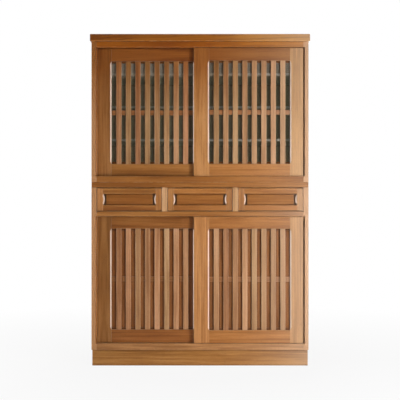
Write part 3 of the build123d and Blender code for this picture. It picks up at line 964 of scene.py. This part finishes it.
def even_row(start, end):
    """Places between two ends, evenly apart and half a step in from each."""
    count = int((end - start) / nail_spacing)
    step = (end - start) / count
    return [start + step * (i + 0.5) for i in range(count)]


print(f"a nail every {nail_spacing * mm:.0f} mm or a little more")

# %% [markdown]
# All heads of one back go into one mesh, because they belong to one piece of work. It rides on the
# case, as the back does, and is steel like the shelf pins.

# %% Drive the nails
def nail_back(name, panel, floors):
    """Domed heads on the rear face of a back, down both sides and along the floors."""
    near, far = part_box(panel)
    spots = [(x, z) for x in (near[0] + nail_inset, far[0] - nail_inset)
             for z in even_row(near[2], far[2])]
    for floor_name in floors:
        under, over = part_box(floor_name)
        middle = (under[2] + over[2]) / 2
        spots += [(x, middle) for x in even_row(near[0], far[0])]
    mesh = bmesh.new()
    for x, z in spots:
        add_head(mesh, x, far[1], z)
    bmesh.ops.recalc_face_normals(mesh, faces=mesh.faces)
    data = bpy.data.meshes.new(name)
    mesh.to_mesh(data)
    mesh.free()
    for polygon in data.polygons:
        polygon.use_smooth = True
    data.materials.append(nail_steel.owner)
    heads = bpy.data.objects.new(name, data)
    scene.collection.objects.link(heads)
    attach(heads, "case")
    print(f"{name}: {len(spots)} nails")


nail_back("lower_back_nails", "lower_back_panel", ["lower_floor_board", "drawer_deck"])
nail_back("upper_back_nails", "upper_back_panel", ["upper_floor_board"])

# %% [markdown]
# ## Soft studio light
#
# A lamp does two things to lacquered wood: it lights the stain, and it is mirrored in the film.
# The two want different lamps. Broad lamps in front and to the right model the front, but mirrored
# they would lay a white veil over it, so they only light. Cards on both sides only show in the
# film, where chamfers, lips and arrises turn towards them, and a strip on the left does both. Two
# more lamps lift the top and the back. Each lamp is described by the brightness of its face,
# because that is what a mirror shows. Its power follows from its area.

# %% A lamp by its brightness
watts_to_brightness = 4  # a rectangular lamp of 4 watts to the square metre has a brightness of 1


def hang_lamp(name, place, aim, size, brightness, lights=True, mirrored=True):
    """A rectangular lamp at `place`, turned to `aim`, that itself stays out of sight."""
    width, height = size
    data = bpy.data.lights.new(name, "AREA")
    data.shape = "RECTANGLE"
    data.size = width
    data.size_y = height
    data.energy = brightness * watts_to_brightness * width * height
    lamp = bpy.data.objects.new(name, data)
    lamp.location = place
    lamp.rotation_euler = (Vector(aim) - Vector(place)).to_track_quat("-Z", "Y").to_euler()
    lamp.visible_camera = False
    lamp.visible_diffuse = lights
    lamp.visible_glossy = mirrored
    scene.collection.objects.link(lamp)
    print(f"{name}: {data.energy:.0f} W")


print("lamps are given by the brightness of their face")

# %% [markdown]
# The key stands low on the right, so the front is brightest there and darkest in the top left
# corner. The softbox above it softens the slats' shadows. A weak fill by the camera reaches
# straight into the gaps beside the doors and into the finger wells, which would else go black.

# %% Hang the lamps that light the front
hang_lamp("key", (1.7, -2.0, 0.4), (0.2, 0, 0.6), (0.8, 0.9), 16.6, mirrored=False)
hang_lamp("high softbox", (1.6, -2.2, 2.3), (0.1, 0, 0.9), (1.0, 1.0), 4.6, mirrored=False)
hang_lamp("front fill", (0.2, -4.9, 1.0), (0, 0, 0.9), (0.9, 0.9), 7.0, mirrored=False)

# %% Hang the cards that the film mirrors, and the fills
hang_lamp("white card", (3.2, -3.6, 0.8), (1.6, 0, 0.8), (1.6, 2.2), 8.0, lights=False)
hang_lamp("right strip", (2.5, -0.9, 0.9), (0, -0.35, 0.9), (0.8, 1.9), 5.0, lights=False)
hang_lamp("left strip", (-2.2, -0.6, 0.9), (0, -0.3, 0.9), (0.7, 1.8), 5.4)
hang_lamp("left card", (-2.5, -0.9, 0.9), (0, -0.35, 0.9), (0.8, 1.9), 7.0, lights=False)
hang_lamp("rear fill", (0.6, 3.2, 1.7), (0, 0, 0.9), (2.4, 2.0), 3.2)
hang_lamp("top fill", (0, 0.3, 3.8), (0, 0.3, 1.8), (1.6, 1.2), 2.5)

# %% [markdown]
# ## A white room
#
# The room has to look white, yet light the wood only a little, or every shadow would fill up.
# Light Path tells the rays apart: what the eye, a mirror or a pane sees is full white, and what
# lights the wood is a dim grey. In front of the cupboard the mirrored room is dark, as a studio is
# behind its lamps, so that the front keeps its colour.

# %% Tell the rays apart
seen_white = 1.0
room_light = 0.05
mirrored_front = 0.05  # the share of white that a mirror sees in front of the cupboard
white_colour = (1, 1, 1, 1)
room_turns = (-0.3, 0.3)  # the forward part of a direction, from in front to behind
floor_turns = (-0.6, 0.3)  # metres from front to back


def seen(graph, in_mirrors):
    """How white the room looks: 1 to the eye and through a pane, `in_mirrors` to a mirror."""
    eye, mirror, pane = graph.add("ShaderNodeLightPath", {}, {}, (
        "Is Camera Ray", "Is Glossy Ray", "Is Transmission Ray"))
    return eye.maths("MAXIMUM", eye, mirror.maths("MAXIMUM", mirror * in_mirrors, pane))


def bright_behind(graph, y, start, end):
    """How white a mirror sees the room: dim in front of the cupboard, full behind it."""
    return graph.slope(y, start, end) * (1 - mirrored_front) + mirrored_front


print(f"what is seen is {seen_white}, what lights is {room_light}")

# %% Paint the room
world = bpy.data.worlds.new("white room")
scene.world = world
room = Graph(world)
towards_back = room.split(room.add("ShaderNodeTexCoord", {}, {}, "Generated"), 1)
in_room = seen(room, bright_behind(room, towards_back, *room_turns))
dim = room.add("ShaderNodeBackground", {}, {"Color": white_colour, "Strength": room_light})
white = room.add("ShaderNodeBackground", {}, {"Color": white_colour, "Strength": seen_white})
walls = room.add("ShaderNodeMixShader", {}, {0: in_room, 1: dim, 2: white})
room.add("ShaderNodeOutputWorld", {}, {"Surface": walls})
print("a white room that hardly lights")

# %% [markdown]
# ## The floor
#
# A sheet of white paper runs out under the cupboard to all sides. Near the plinth a tenth of what
# the eye sees is matt paper, which is where a soft shadow falls and shows that the cupboard stands
# on something. Further out it turns fully into the white of the room, so no horizon shows.

# %% Lay the floor
floor_reach = 14.0  # metres
floor_gap = 0.0005  # keeps the paper clear of the plinth's underside

floor_mesh = bpy.data.meshes.new("floor")
corners = [(-floor_reach, -floor_reach, 0), (floor_reach, -floor_reach, 0),
           (floor_reach, floor_reach, 0), (-floor_reach, floor_reach, 0)]
floor_mesh.from_pydata(corners, [], [(0, 1, 2, 3)])
floor = bpy.data.objects.new("floor", floor_mesh)
floor.location.z = low[2] - floor_gap
scene.collection.objects.link(floor)
print(f"paper laid, {2 * floor_reach:.0f} m square")

# %% Make the paper
shadow_share = 0.1
shadow_ends = (0.6, 2.6)  # metres from the middle of the cupboard
matt_grey = (0.5, 0.5, 0.5, 1)

paper = new_material("white paper floor")
spot = paper.here()
away = paper.add("ShaderNodeVectorMath", {"operation": "LENGTH"}, {0: spot}, "Value")
glow = paper.slope(away, *shadow_ends) * shadow_share + (1 - shadow_share)
on_floor = seen(paper, bright_behind(paper, paper.split(spot, 1), *floor_turns))
matt = paper.add("ShaderNodeBsdfDiffuse", {}, {"Color": matt_grey})
bright = paper.add("ShaderNodeEmission", {}, {"Color": white_colour, "Strength": seen_white})
floor_mesh.materials.append(paper.show(
    paper.add("ShaderNodeMixShader", {}, {0: on_floor * glow, 1: matt, 2: bright})))
print("paper that keeps a soft shadow")
